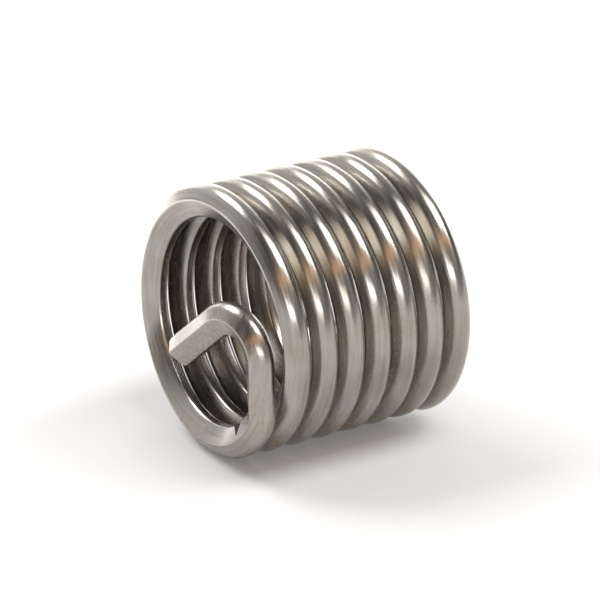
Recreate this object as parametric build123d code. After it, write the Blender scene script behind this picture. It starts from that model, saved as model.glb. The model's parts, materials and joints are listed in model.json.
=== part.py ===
from build123d import *
import os
from math import ceil, cos, radians, sin, sqrt, tan

# Helical wire thread insert for an M5 x 0.8 bolt, in its free state, lying on its side.
# Millimetres, +Z up, the coil's axis along +X from the tang to the plain end. The origin
# is on the surface that the insert lies on, under the middle of its length.

# Driving dimensions
pitch = 0.8                     # of the M5 thread
outer_radius = 3.55             # over the wire's outer crest, with the coil free
turns = 7.08                    # of the right-hand coil, from the tang to the plain end
tang_clock = 128                # where the tang leaves the coil, degrees clockwise from the top
heel_radius = 0.6               # of the first bend, at the wire's side corners
heel_turn = 39                  # from the coil to the leg, degrees
leg_length = 1.28
leg_twist = 9                   # along the leg, so that the arm clears the coil, degrees
curl_radius = 1.03              # of the tang's bend, at the wire's side corners
curl_turn = 130                 # from the leg to the arm, degrees
arm_length = 2.06
notch_after = 16                # from the heel back along the coil to the notch, degrees
notch_depth = 0.34              # into the wire from the bore
notch_opening = 70              # between the sides of the V, degrees

# Wire section, in shares of the pitch as thread forms are
flank_angle = 30                # each flank to the plane across the thread, degrees
wire_width = pitch * 7 / 8      # over the two side corners
inner_land = pitch / 4          # flat of the inner crest, which is the minor diameter
crest_radius = pitch * 0.19     # rounding of the outer crest
crest_land = pitch * 0.18       # narrow flat rolled on that rounding

slope = tan(radians(flank_angle))
inner_height = (wire_width - inner_land) / 2 / slope
crest_center = (wire_width / 2 - crest_radius / cos(radians(flank_angle))) / slope
outer_height = crest_center + sqrt(crest_radius**2 - (crest_land / 2) ** 2)
corner_radius = outer_radius - outer_height     # of the helix that the side corners follow
bore_radius = corner_radius - inner_height

# The coil is made of equal arcs, with a shorter one at the plain end
arc_angle = 60
arc_rise = pitch * arc_angle / 360
arc_count = ceil(turns * 360 / arc_angle)
last_angle = turns * 360 - (arc_count - 1) * arc_angle
bolt_gap = 0.05                 # along the axis, from the tang to the thread that a bolt can reach
blind_arcs = ceil(((wire_width + inner_land) / 2 + bolt_gap) / arc_rise)    # beside the tang


def drawn_section():
    """The wire before its crests are sized: sharp inside, fully rounded outside."""
    tangent = (crest_center + crest_radius * sin(radians(flank_angle)),
               crest_radius * cos(radians(flank_angle)))
    crest = (crest_center + crest_radius, 0)
    side = (0, wire_width / 2)
    sharp = (-wire_width / 2 / slope, 0)
    with BuildSketch(Plane.XZ) as section:
        with BuildLine():
            Polyline(sharp, side, tangent)
            ThreePointArc(tangent, crest, (tangent[0], -tangent[1]))
            Polyline((tangent[0], -tangent[1]), (0, -wire_width / 2), sharp)
        make_face()
    return section.sketch


def sized_section():
    """The finished wire, with the flats of its inner and outer crests."""
    with BuildSketch(Plane.XZ) as section:
        add(drawn_section())
        with Locations(((outer_height - inner_height) / 2, 0)):
            Rectangle(outer_height + inner_height, wire_width, mode=Mode.INTERSECT)
    return section.sketch


def coil_arc(section, angle):
    """One short arc of the coil."""
    path = Helix(pitch, pitch * angle / 360, corner_radius)
    return sweep(Pos(corner_radius, 0, 0) * section, path=path, is_frenet=True)


def turned_arc(angle):
    """An arc whose crests are turned to the two diameters that the threads fit."""
    sleeve = 2 * (wire_width + arc_rise)
    drawn = coil_arc(drawn_section(), angle)
    with BuildPart() as arc:
        add(drawn)
        with Locations(Location((0, 0, 0), (0, 0, 180))):
            Cylinder(bore_radius, sleeve, mode=Mode.SUBTRACT)
            Cylinder(outer_radius, sleeve, mode=Mode.INTERSECT)
    return arc.part


def coil():
    """The arcs laid end to end along the helix, with no seam in a crest smoothed away."""
    blind = coil_arc(sized_section(), arc_angle)
    turned = turned_arc(arc_angle)
    arcs = [blind] * blind_arcs + [turned] * (arc_count - 1 - blind_arcs)
    arcs.append(turned_arc(last_angle))
    placed = []
    for index, arc in enumerate(arcs):
        place = Location((0, 0, index * arc_rise), (0, 0, index * arc_angle))
        placed.append(place * arc)
    with BuildPart() as winding:
        add(placed, clean=False)
    return winding.part


def bend(radius, angle):
    """The wire turned in towards the axis, and the step from its one end to the other."""
    solid = revolve(sized_section(), axis=Axis((-radius, 0, 0), (0, 0, -1)), revolution_arc=angle)
    return solid, Pos(-radius, 0, 0) * Rot(0, 0, -angle) * Pos(radius, 0, 0)


def tang():
    """The driving tang: a heel beside the notch, the leg, the curl and the arm in the bore."""
    heel, heel_step = bend(heel_radius, heel_turn)
    curl, curl_step = bend(curl_radius, curl_turn)
    leg_step = Pos(0, -leg_length, 0) * Rot(0, -leg_twist, 0)
    leg = loft([sized_section().face(), (leg_step * sized_section()).face()])
    arm = extrude(sized_section(), amount=arm_length, dir=(0, -1, 0))
    place = Pos(corner_radius, 0, 0)
    pieces = []
    for piece, step in ((heel, heel_step), (leg, leg_step), (curl, curl_step), (arm, Pos())):
        pieces.append(place * piece)
        place = place * step
    with BuildPart() as driver:
        add(pieces, clean=False)
    return driver.part


def notch():
    """The V across the inner side of the wire, where the tang breaks off."""
    mouth = 2 * notch_depth * tan(radians(notch_opening / 2))
    base = 90 - notch_opening / 2
    place = Location((0, 0, pitch * notch_after / 360), (0, 0, notch_after))
    with BuildPart() as cutter:
        with BuildSketch():
            with Locations((bore_radius + notch_depth, 0)):
                Triangle(a=2 * mouth, B=base, C=base, rotation=-90,
                         align=(Align.CENTER, Align.MAX))
        extrude(amount=pitch / 2, both=True)
    return place * cutter.part


winding, driver, cutter = coil(), tang(), notch()
with BuildPart() as insert:
    add(winding, clean=False)
    add(driver, clean=False)
    add(cutter, mode=Mode.SUBTRACT, clean=False)

# Laid on its side, as it comes to rest, with the origin under the middle of its length
length = insert.part.bounding_box()
start = radians(tang_clock)
lying = Plane(
    origin=(-(length.min.Z + length.max.Z) / 2, 0, outer_radius),
    x_dir=(0, -sin(start), cos(start)),
    z_dir=(1, 0, 0),
)
thread_insert = lying.location * insert.part

os.makedirs("parts", exist_ok=True)
export_step(thread_insert, "parts/thread_insert.step")
box = thread_insert.bounding_box()
print("size", box.size, "low", box.min, "volume", thread_insert.volume)
print("coil from", lying.origin.X, "to", lying.origin.X + turns * pitch, "bore radius", bore_radius)
print("blind length", blind_arcs * arc_rise)
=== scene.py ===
import json
import math
import bmesh
import bpy
from mathutils import Matrix, Vector


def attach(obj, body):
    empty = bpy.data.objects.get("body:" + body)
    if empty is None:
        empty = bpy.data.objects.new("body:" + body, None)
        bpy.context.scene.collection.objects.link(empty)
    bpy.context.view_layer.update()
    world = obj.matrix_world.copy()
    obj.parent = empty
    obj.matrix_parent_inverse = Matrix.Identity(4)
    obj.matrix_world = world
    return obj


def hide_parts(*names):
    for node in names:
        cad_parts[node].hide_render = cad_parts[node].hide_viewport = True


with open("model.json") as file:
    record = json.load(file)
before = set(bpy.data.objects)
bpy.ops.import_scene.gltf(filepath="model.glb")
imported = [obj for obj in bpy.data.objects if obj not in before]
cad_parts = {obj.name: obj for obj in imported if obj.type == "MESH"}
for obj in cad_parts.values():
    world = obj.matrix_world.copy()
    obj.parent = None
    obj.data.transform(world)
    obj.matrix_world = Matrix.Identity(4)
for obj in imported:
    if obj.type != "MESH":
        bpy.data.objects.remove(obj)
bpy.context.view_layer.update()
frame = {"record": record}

mm = 0.001

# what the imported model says: the coil lies along X, tang end at -X
mounts = {m["name"]: m for m in frame["record"]["mounts"]}
outerRadius = mounts["outer_thread"]["dims"]["r_mm"] * mm
boreRadius = mounts["internal_thread"]["dims"]["r_mm"] * mm
plainEnd = Vector(mounts["internal_thread"]["pos_m"])      # on the axis, where the coil stops
print("frame: coil radius", round(outerRadius / mm, 3), "mm, bore radius", round(boreRadius / mm, 3), "mm")

# lengths in mm, angles in degrees, clock angles clockwise from the top as seen from the tang
wire = {
    "pitch": 0.8,
    "turns": 7.08,
    "sideWidth": 0.786,       # across the diamond's side corners
    "innerFlat": 0.23,        # of the crest that the bolt runs on
    "innerRounding": 0.1,     # radius where that flat meets its flanks
    "sideRounding": 0.07,     # radius of the side corners
    "flankAngle": 30,         # to the plane across the coil
    "stepsPerTurn": 120,
    "endRounding": 0.03,      # left by the cutting of the plain end
    "roundingSteps": 6,
}
tang = {
    "clock": 128,             # where it leaves the coil
    "heelRadius": 0.6,        # of the first bend, at the side corners
    "heelTurn": 39,
    "legLength": 1.28,
    "legTwist": 9,
    "curlRadius": 1.03,       # of the bend between leg and arm
    "curlTurn": 130,
    "armLength": 2.06,
    "tipRounding": 0.24,
    "heelSteps": 12,
    "legSteps": 12,
    "curlSteps": 40,
    "armSteps": 6,
}
notch = {
    "after": 16,              # past the tang's clock
    "depth": 0.34,
    "opening": 70,
    "halfLength": 0.44,       # of the cutter, along the coil's axis
}
sharpAngle = 38               # edges that turn by more than this stay crisp

slope = math.tan(math.radians(wire["flankAngle"]))
innerHeight = (wire["sideWidth"] - wire["innerFlat"]) / 2 / slope * mm
cornerRadius = boreRadius + innerHeight     # of the line that the side corners follow
outerHeight = outerRadius - cornerRadius
crestHalf = wire["sideWidth"] / 2 * mm - outerHeight * slope      # half of what the crest's rounding takes
coilStart = plainEnd - Vector((wire["turns"] * wire["pitch"] * mm, 0, 0))
print("outer crest rounded to", round(crestHalf / slope / mm, 3), "mm")


def clockPlace(clock, radius):
    # a place on the coil's first turn: local X points out, Y on round the coil, Z along the axis
    angle = math.radians(clock)
    out = Vector((0, -math.sin(angle), math.cos(angle)))
    onward = Vector((0, -math.cos(angle), -math.sin(angle)))
    turned = Matrix((out, onward, Vector((1, 0, 0)))).transposed().to_4x4()
    return Matrix.Translation(coilStart + out * radius) @ turned


def roundCorner(bm, corner, radius):
    # a corner of the outline, which turns by 60 degrees, becomes an arc of that radius
    bmesh.ops.bevel(bm, geom=[corner], offset=radius * slope, offset_type="OFFSET",
                    segments=wire["roundingSteps"], profile=0.5, affect="VERTICES", material=-1)


def wireOutline(bm):
    # the wire's rounded diamond, about its own middle line
    half = wire["sideWidth"] / 2 * mm
    flat = wire["innerFlat"] / 2 * mm
    crestRounding = 0.99 * crestHalf / slope      # a hair less, so that its two arcs stay apart
    corners = [
        (-innerHeight, -flat, wire["innerRounding"] * mm),
        (-innerHeight, flat, wire["innerRounding"] * mm),
        (0, half, wire["sideRounding"] * mm),
        (outerHeight, crestHalf, crestRounding),
        (outerHeight, -crestHalf, crestRounding),
        (0, -half, wire["sideRounding"] * mm),
    ]
    verts = [bm.verts.new((out, 0, along)) for out, along, rounding in corners]
    for one, two in zip(verts, verts[1:] + verts[:1]):
        bm.edges.new((one, two))
    for vert, (out, along, rounding) in zip(verts, corners):
        roundCorner(bm, vert, rounding)


def pullWire(bm, ring, place, step, count):
    # the outline drawn on by the same small step again and again
    move = place @ step @ place.inverted()
    for number in range(count):
        drawn = bmesh.ops.extrude_edge_only(bm, edges=ring)["geom"]
        verts = [g for g in drawn if isinstance(g, bmesh.types.BMVert)]
        ahead = set(verts)
        ring = [g for g in drawn if isinstance(g, bmesh.types.BMEdge) and ahead.issuperset(g.verts)]
        bmesh.ops.transform(bm, matrix=move, verts=verts)
        place = place @ step
    return ring, place


def bendStep(radius, angle, count):
    # turned in towards the axis
    out = Vector((radius * mm, 0, 0))
    turn = Matrix.Rotation(math.radians(-angle / count), 4, "Z")
    return Matrix.Translation(-out) @ turn @ Matrix.Translation(out)


def closeEnd(bm, ring, place, rounding, way):
    # the wire's cut end, its edge rounded off in a few shrinking steps
    steps = 4
    reach, size = 0, 1
    for number in range(1, steps + 1):
        angle = math.radians(90 * number / steps)
        newReach = rounding * mm * math.sin(angle)
        newSize = 1 - rounding * mm * (1 - math.cos(angle)) / innerHeight
        step = Matrix.Translation((0, way * (newReach - reach), 0)) @ Matrix.Scale(newSize / size, 4)
        ring, place = pullWire(bm, ring, place, step, 1)
        reach, size = newReach, newSize
    bmesh.ops.edgeloop_fill(bm, edges=ring)


def buildInsert():
    bm = bmesh.new()
    wireOutline(bm)
    start = clockPlace(tang["clock"], cornerRadius)
    bmesh.ops.transform(bm, matrix=start, verts=bm.verts)
    outline = list(bm.edges)

    # the tang: heel, leg, curl and arm
    heel = bendStep(tang["heelRadius"], tang["heelTurn"], tang["heelSteps"])
    ring, place = pullWire(bm, outline, start, heel, tang["heelSteps"])
    leg = Matrix.Translation((0, -tang["legLength"] * mm / tang["legSteps"], 0))
    leg = leg @ Matrix.Rotation(math.radians(-tang["legTwist"] / tang["legSteps"]), 4, "Y")
    ring, place = pullWire(bm, ring, place, leg, tang["legSteps"])
    curl = bendStep(tang["curlRadius"], tang["curlTurn"], tang["curlSteps"])
    ring, place = pullWire(bm, ring, place, curl, tang["curlSteps"])
    straight = (tang["armLength"] - tang["tipRounding"]) * mm
    arm = Matrix.Translation((0, -straight / tang["armSteps"], 0))
    ring, place = pullWire(bm, ring, place, arm, tang["armSteps"])
    closeEnd(bm, ring, place, tang["tipRounding"], -1)
    print("tang:", len(bm.faces), "faces")

    # the coil, from the same outline the other way
    count = round(wire["turns"] * wire["stepsPerTurn"])
    rise = wire["turns"] * wire["pitch"] * mm / count
    coil = bmesh.ops.spin(bm, geom=outline, cent=coilStart, axis=(1, 0, 0), dvec=(rise, 0, 0),
                          angle=math.radians(360 * wire["turns"]), steps=count)
    ring = [g for g in coil["geom_last"] if isinstance(g, bmesh.types.BMEdge)]
    place = clockPlace(tang["clock"] + 360 * wire["turns"], cornerRadius)
    closeEnd(bm, ring, Matrix.Translation((rise * count, 0, 0)) @ place, wire["endRounding"], 1)
    print("coil:", count, "steps")

    bmesh.ops.remove_doubles(bm, verts=bm.verts, dist=1e-7)
    bmesh.ops.recalc_face_normals(bm, faces=bm.faces)
    mesh = bpy.data.meshes.new("wireInsert")
    bm.to_mesh(mesh)
    bm.free()
    piece = bpy.data.objects.new("wireInsert", mesh)
    bpy.context.collection.objects.link(piece)
    return piece


def notchCutter():
    # a V laid across the inner side of the wire
    half = math.radians(notch["opening"] / 2)
    deep = 2 * notch["depth"] * mm
    bm = bmesh.new()
    tall = notch["halfLength"] * mm
    corners = [(0, 0), (-deep, deep * math.tan(half)), (-deep, -deep * math.tan(half))]
    verts = [bm.verts.new((out, onward, -tall)) for out, onward in corners]
    face = bm.faces.new(verts)
    raised = bmesh.ops.extrude_face_region(bm, geom=[face])["geom"]
    top = [g for g in raised if isinstance(g, bmesh.types.BMVert)]
    bmesh.ops.translate(bm, vec=(0, 0, 2 * tall), verts=top)
    bmesh.ops.recalc_face_normals(bm, faces=bm.faces)
    rise = Matrix.Translation((notch["after"] / 360 * wire["pitch"] * mm, 0, 0))
    place = clockPlace(tang["clock"] + notch["after"], boreRadius + notch["depth"] * mm)
    bmesh.ops.transform(bm, matrix=rise @ place, verts=bm.verts)
    mesh = bpy.data.meshes.new("notchCutter")
    bm.to_mesh(mesh)
    bm.free()
    cutter = bpy.data.objects.new("notchCutter", mesh)
    bpy.context.collection.objects.link(cutter)
    return cutter


def cutNotch(piece, cutter):
    cut = piece.modifiers.new("notch", "BOOLEAN")
    cut.operation = "DIFFERENCE"
    cut.solver = "EXACT"
    cut.object = cutter
    bpy.context.view_layer.update()
    finished = bpy.data.meshes.new_from_object(piece.evaluated_get(bpy.context.evaluated_depsgraph_get()))
    piece.modifiers.clear()
    piece.data = finished
    bpy.data.objects.remove(cutter)


insert = buildInsert()
cutNotch(insert, notchCutter())
for face in insert.data.polygons:
    face.use_smooth = True
insert.data.set_sharp_from_angle(angle=math.radians(sharpAngle))
evenShade = insert.modifiers.new("evenShade", "WEIGHTED_NORMAL")     # keeps the flanks looking flat
evenShade.keep_sharp = True
evenShade.weight = 80
print("insert:", len(insert.data.polygons), "faces")
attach(insert, "root")
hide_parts("thread_insert")


def linear(hexColour):
    # an sRGB hex value as linear colour
    parts = [int(hexColour[i:i + 2], 16) / 255 for i in (1, 3, 5)]
    return [p / 12.92 if p <= 0.04045 else ((p + 0.055) / 1.055) ** 2.4 for p in parts] + [1.0]


def addNode(tree, kind, links=None, **settings):
    # settings name either the node's own properties or its sockets
    node = tree.nodes.new(kind)
    for name, value in settings.items():
        if hasattr(node, name):
            setattr(node, name, value)
        else:
            node.inputs[name.replace("_", " ")].default_value = value
    for socket, source in (links or {}).items():
        tree.links.new(source, node.inputs[socket])
    return node


def ramp(tree, source, stops):
    # stops are (position, hex colour)
    node = addNode(tree, "ShaderNodeValToRGB", {0: source})
    while len(node.color_ramp.elements) < len(stops):
        node.color_ramp.elements.new(1.0)
    for element, (position, colour) in zip(node.color_ramp.elements, stops):
        element.position = position
        element.color = linear(colour)
    return node.outputs[0]


def setInputs(node, **values):
    for name, value in values.items():
        node.inputs[name.replace("_", " ")].default_value = value


# lengths in mm
finish = {
    "lineSpacing": 0.08,              # of the drawing lines
    "drawnOut": 25,                   # how much longer than wide those lines are
    "lineDepth": 0.004,
    "cloudSize": 0.7,                 # of the duller patches
    "roughness": (0.19, 0.31),
    "clear": "#adaaa3",
    "dull": "#a8a096",
    "shaded": "#e0e0e0",              # of the drawing lines' low places
}


def rolledStainless():
    # bright rolled stainless wire: a satin grey mirror, faintly warm in places, drawn along its length
    material = bpy.data.materials.new("rolledStainless")
    material.use_nodes = True
    tree = material.node_tree
    shader = tree.nodes["Principled BSDF"]
    shader.inputs["Metallic"].default_value = 1.0

    # place round the coil's axis: along it, out from it and the arc about it
    place = addNode(tree, "ShaderNodeTexCoord").outputs["Object"]
    fromAxis = addNode(tree, "ShaderNodeVectorMath", {0: place}, operation="SUBTRACT")
    fromAxis.inputs[1].default_value = (0, 0, plainEnd.z)
    apart = addNode(tree, "ShaderNodeSeparateXYZ", {0: fromAxis.outputs[0]})
    flatPlace = addNode(tree, "ShaderNodeCombineXYZ", {1: apart.outputs["Y"], 2: apart.outputs["Z"]})
    out = addNode(tree, "ShaderNodeVectorMath", {0: flatPlace.outputs[0]}, operation="LENGTH")
    about = addNode(tree, "ShaderNodeMath", {0: apart.outputs["Y"], 1: apart.outputs["Z"]},
                    operation="ARCTAN2")
    arc = addNode(tree, "ShaderNodeMath", {0: about.outputs[0]}, operation="MULTIPLY")
    arc.inputs[1].default_value = outerRadius / finish["drawnOut"]
    drawn = addNode(tree, "ShaderNodeCombineXYZ",
                    {0: apart.outputs["X"], 1: out.outputs["Value"], 2: arc.outputs[0]})

    # fine lines along the wire, and clouds of duller metal
    lines = addNode(tree, "ShaderNodeTexNoise", {0: drawn.outputs[0]}, Detail=3.0,
                    Scale=1 / (finish["lineSpacing"] * mm))
    clouds = addNode(tree, "ShaderNodeTexNoise", {0: place}, Detail=4.0, Scale=1 / (finish["cloudSize"] * mm))

    tint = ramp(tree, clouds.outputs[0], [(0.35, finish["clear"]), (0.65, finish["dull"])])
    streaks = ramp(tree, lines.outputs[0], [(0.3, finish["shaded"]), (0.7, "#ffffff")])
    mixed = addNode(tree, "ShaderNodeMix", data_type="RGBA", blend_type="MULTIPLY")
    mixed.inputs[0].default_value = 1.0
    tree.links.new(tint, mixed.inputs[6])
    tree.links.new(streaks, mixed.inputs[7])
    tree.links.new(mixed.outputs[2], shader.inputs["Base Color"])

    both = addNode(tree, "ShaderNodeMath", {0: lines.outputs[0], 1: clouds.outputs[0]}, operation="ADD")
    smooth, rough = finish["roughness"]
    dulling = addNode(tree, "ShaderNodeMapRange", {0: both.outputs[0]})
    setInputs(dulling, From_Min=0.7, From_Max=1.3, To_Min=smooth, To_Max=rough)
    tree.links.new(dulling.outputs[0], shader.inputs["Roughness"])

    grooves = addNode(tree, "ShaderNodeBump", {"Height": lines.outputs[0]}, Strength=0.3)
    setInputs(grooves, Distance=finish["lineDepth"] * mm)
    tree.links.new(grooves.outputs[0], shader.inputs["Normal"])
    return material


insert.data.materials.append(rolledStainless())
print("material:", insert.data.materials[0].name)

# floor that stays white to the eye and keeps the shadow
floorSize = 1.0
paper = {
    "colour": "#c8c8c8",
    "roughness": 0.9,
    "lift": 0.1,              # what the eye gets on top of the light, near the piece
    "paintedFarGlow": 1.5,           # and far behind it, a painted glow that the metal shows as a painted reflection
    "rise": (3, 22),          # mm behind the piece, between the two
}
bm = bmesh.new()
bmesh.ops.create_grid(bm, x_segments=1, y_segments=1, size=floorSize / 2)
floorMesh = bpy.data.meshes.new("floor")
bm.to_mesh(floorMesh)
bm.free()
floor = bpy.data.objects.new("floor", floorMesh)
bpy.context.collection.objects.link(floor)


def whitePaper():
    # matt white paper, plain near the piece, that shows as white while it keeps the shadow; further behind it
    # glows brighter, a painted glow that the metal shows as a painted reflection
    material = bpy.data.materials.new("whitePaper")
    material.use_nodes = True
    tree = material.node_tree
    shader = tree.nodes["Principled BSDF"]
    shader.inputs["Base Color"].default_value = linear(paper["colour"])
    shader.inputs["Roughness"].default_value = paper["roughness"]
    seen = addNode(tree, "ShaderNodeLightPath")
    visible = addNode(tree, "ShaderNodeMath", {0: seen.outputs["Is Camera Ray"],
                                               1: seen.outputs["Is Glossy Ray"]}, operation="MAXIMUM")
    through = addNode(tree, "ShaderNodeMath", {0: visible.outputs[0],
                                               1: seen.outputs["Is Transmission Ray"]}, operation="MAXIMUM")
    # the sheet glows brighter behind the piece: painted light, seen in the metal as a painted reflection
    place = addNode(tree, "ShaderNodeTexCoord").outputs["Object"]
    apart = addNode(tree, "ShaderNodeSeparateXYZ", {0: place})
    near, far = paper["rise"]
    glow = addNode(tree, "ShaderNodeMapRange", {0: apart.outputs["Y"]}, interpolation_type="SMOOTHSTEP")
    setInputs(glow, From_Min=near * mm, From_Max=far * mm, To_Min=paper["lift"], To_Max=paper["paintedFarGlow"])
    lift = addNode(tree, "ShaderNodeMath", {0: through.outputs[0], 1: glow.outputs[0]}, operation="MULTIPLY")
    shader.inputs["Emission Color"].default_value = (1, 1, 1, 1)
    tree.links.new(lift.outputs[0], shader.inputs["Emission Strength"])
    return material


floorMesh.materials.append(whitePaper())

# studio: a pale wall behind, a dark room elsewhere, and soft lamps
world = bpy.data.worlds.new("studio")
bpy.context.scene.world = world
world.use_nodes = True
room = world.node_tree
way = addNode(room, "ShaderNodeTexCoord")
parts = addNode(room, "ShaderNodeSeparateXYZ", {0: way.outputs["Generated"]})
back = addNode(room, "ShaderNodeMapRange", {0: parts.outputs["Y"]})
back.inputs["From Min"].default_value = -1
walls = ramp(room, back.outputs[0], [(0.05, "#a8a8a8"), (0.25, "#9c9c9c"), (0.45, "#4c4c4c"),
                                     (0.6, "#868686"), (0.8, "#f0f0f0")])
room.links.new(walls, room.nodes["Background"].inputs["Color"])

# way is the direction of each lamp from the coil, size in degrees along the coil and across it
lamps = {
    "top": {"way": (0.35, -0.36, 0.86), "size": (56, 26), "glow": 5.0, "colour": "#ffffff"},
    "front": {"way": (-0.6, -0.76, 0.2), "size": (50, 9), "glow": 5.0, "colour": "#ffffff"},
    "back": {"way": (0.45, 0.86, 0.22), "size": (70, 24), "glow": 1.6, "colour": "#ffffff"},
    "left": {"way": (-0.28, 0.56, 0.78), "size": (26, 22), "glow": 9.0, "colour": "#ffffff"},
    "warm": {"way": (-0.3, -0.69, 0.655), "size": (124, 7), "glow": 2.4, "colour": "#c08a50"},
}
lampDistance = 0.25           # in metres


def placeLamp(name, way, size, glow, colour):
    data = bpy.data.lights.new(name, "AREA")
    data.shape = "RECTANGLE"
    data.size, data.size_y = (2 * lampDistance * math.tan(math.radians(s / 2)) for s in size)
    data.energy = glow * 4 * data.size * data.size_y
    data.color = linear(colour)[:3]
    lamp = bpy.data.objects.new(name, data)
    bpy.context.collection.objects.link(lamp)
    away = Vector(way).normalized()
    lamp.location = Vector((0, 0, plainEnd.z)) + away * lampDistance
    across = away.cross(Vector((1, 0, 0))).normalized()
    lamp.rotation_euler = Matrix((across.cross(away), across, away)).transposed().to_euler()


for name, lamp in lamps.items():
    placeLamp(name, **lamp)
print("lamps:", len(lamps))

# distance in coil radii, middle in mm along the coil
camera = {"azimuth": -32.2, "elevation": 22.24, "distance": 34.9, "lens": 289.1,
          "middle": 0.271, "roll": -0.5, "shift": (0.0026, 0.0005)}


def placeCamera():
    data = bpy.data.cameras.new("camera")
    data.lens = camera["lens"]
    data.sensor_width = 36
    data.clip_start = 0.001
    data.clip_end = 10
    data.shift_x, data.shift_y = (-s for s in camera["shift"])
    eye = bpy.data.objects.new("camera", data)
    bpy.context.collection.objects.link(eye)
    a, e = math.radians(camera["azimuth"]), math.radians(camera["elevation"])
    away = Vector((math.sin(a) * math.cos(e), -math.cos(a) * math.cos(e), math.sin(e)))
    target = Vector((camera["middle"] * mm, 0, plainEnd.z))
    eye.location = target + away * camera["distance"] * outerRadius
    upright = away.to_track_quat("Z", "Y").to_matrix()
    eye.rotation_euler = (upright @ Matrix.Rotation(math.radians(camera["roll"]), 3, "Z")).to_euler()
    bpy.context.scene.camera = eye


placeCamera()
bpy.context.scene.view_settings.view_transform = "Standard"
